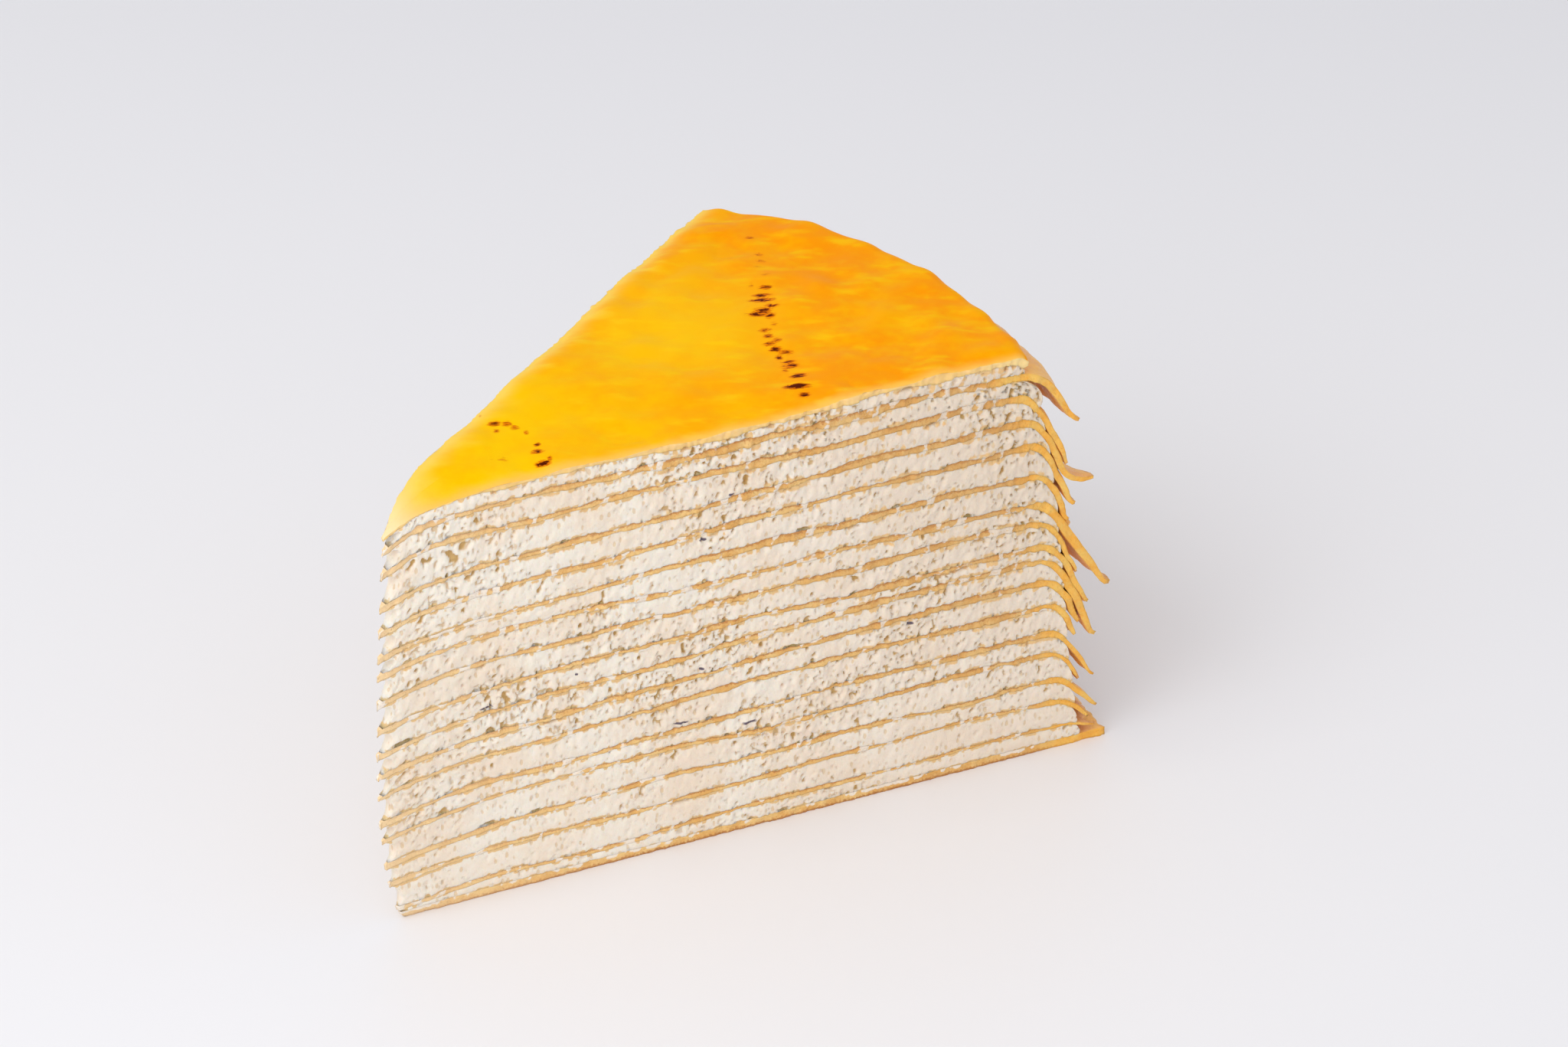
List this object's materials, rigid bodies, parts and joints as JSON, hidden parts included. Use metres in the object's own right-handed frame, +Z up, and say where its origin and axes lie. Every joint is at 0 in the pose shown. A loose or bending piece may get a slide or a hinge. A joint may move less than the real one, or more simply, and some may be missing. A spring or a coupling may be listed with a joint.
{
  "type": "crepe cake slice",
  "caption": "Wedge cut from a round crepe cake: thin pancakes stacked with whipped cream, their edges hanging over the rim, with a shiny browned top.",
  "frame": {"origin": "on the face the slice rests on, under the middle of its bounding box", "axes": "+X from the tip to the rim along the wedge's middle line, +Z up, and the cut face that the picture shows is on the -Y side"},
  "size_m": [0.1066, 0.0724, 0.0635],
  "materials": {
    "caramel_top": "shiny orange-yellow browned crepe with a few dark scorch marks",
    "crepe": "moist golden crepe, crumbly where it is cut",
    "cream": "soft whipped cream, torn and pitted by the knife"
  },
  "bodies": {
    "root": {"crepe_01": "crepe", "crepe_02": "crepe", "crepe_03": "crepe", "crepe_04": "crepe", "crepe_05": "crepe", "crepe_06": "crepe", "crepe_07": "crepe", "crepe_08": "crepe", "crepe_09": "crepe", "crepe_10": "crepe", "crepe_11": "crepe", "crepe_12": "crepe", "crepe_13": "crepe", "crepe_14": "crepe", "crepe_15": "crepe", "crepe_16": "crepe", "crepe_17": "crepe", "crepe_18": "caramel_top", "cream_01": "cream", "cream_02": "cream", "cream_03": "cream", "cream_04": "cream", "cream_05": "cream", "cream_06": "cream", "cream_07": "cream", "cream_08": "cream", "cream_09": "cream", "cream_10": "cream", "cream_11": "cream", "cream_12": "cream", "cream_13": "cream", "cream_14": "cream", "cream_15": "cream", "cream_16": "cream", "cream_17": "cream"}
  },
  "joints": []
}
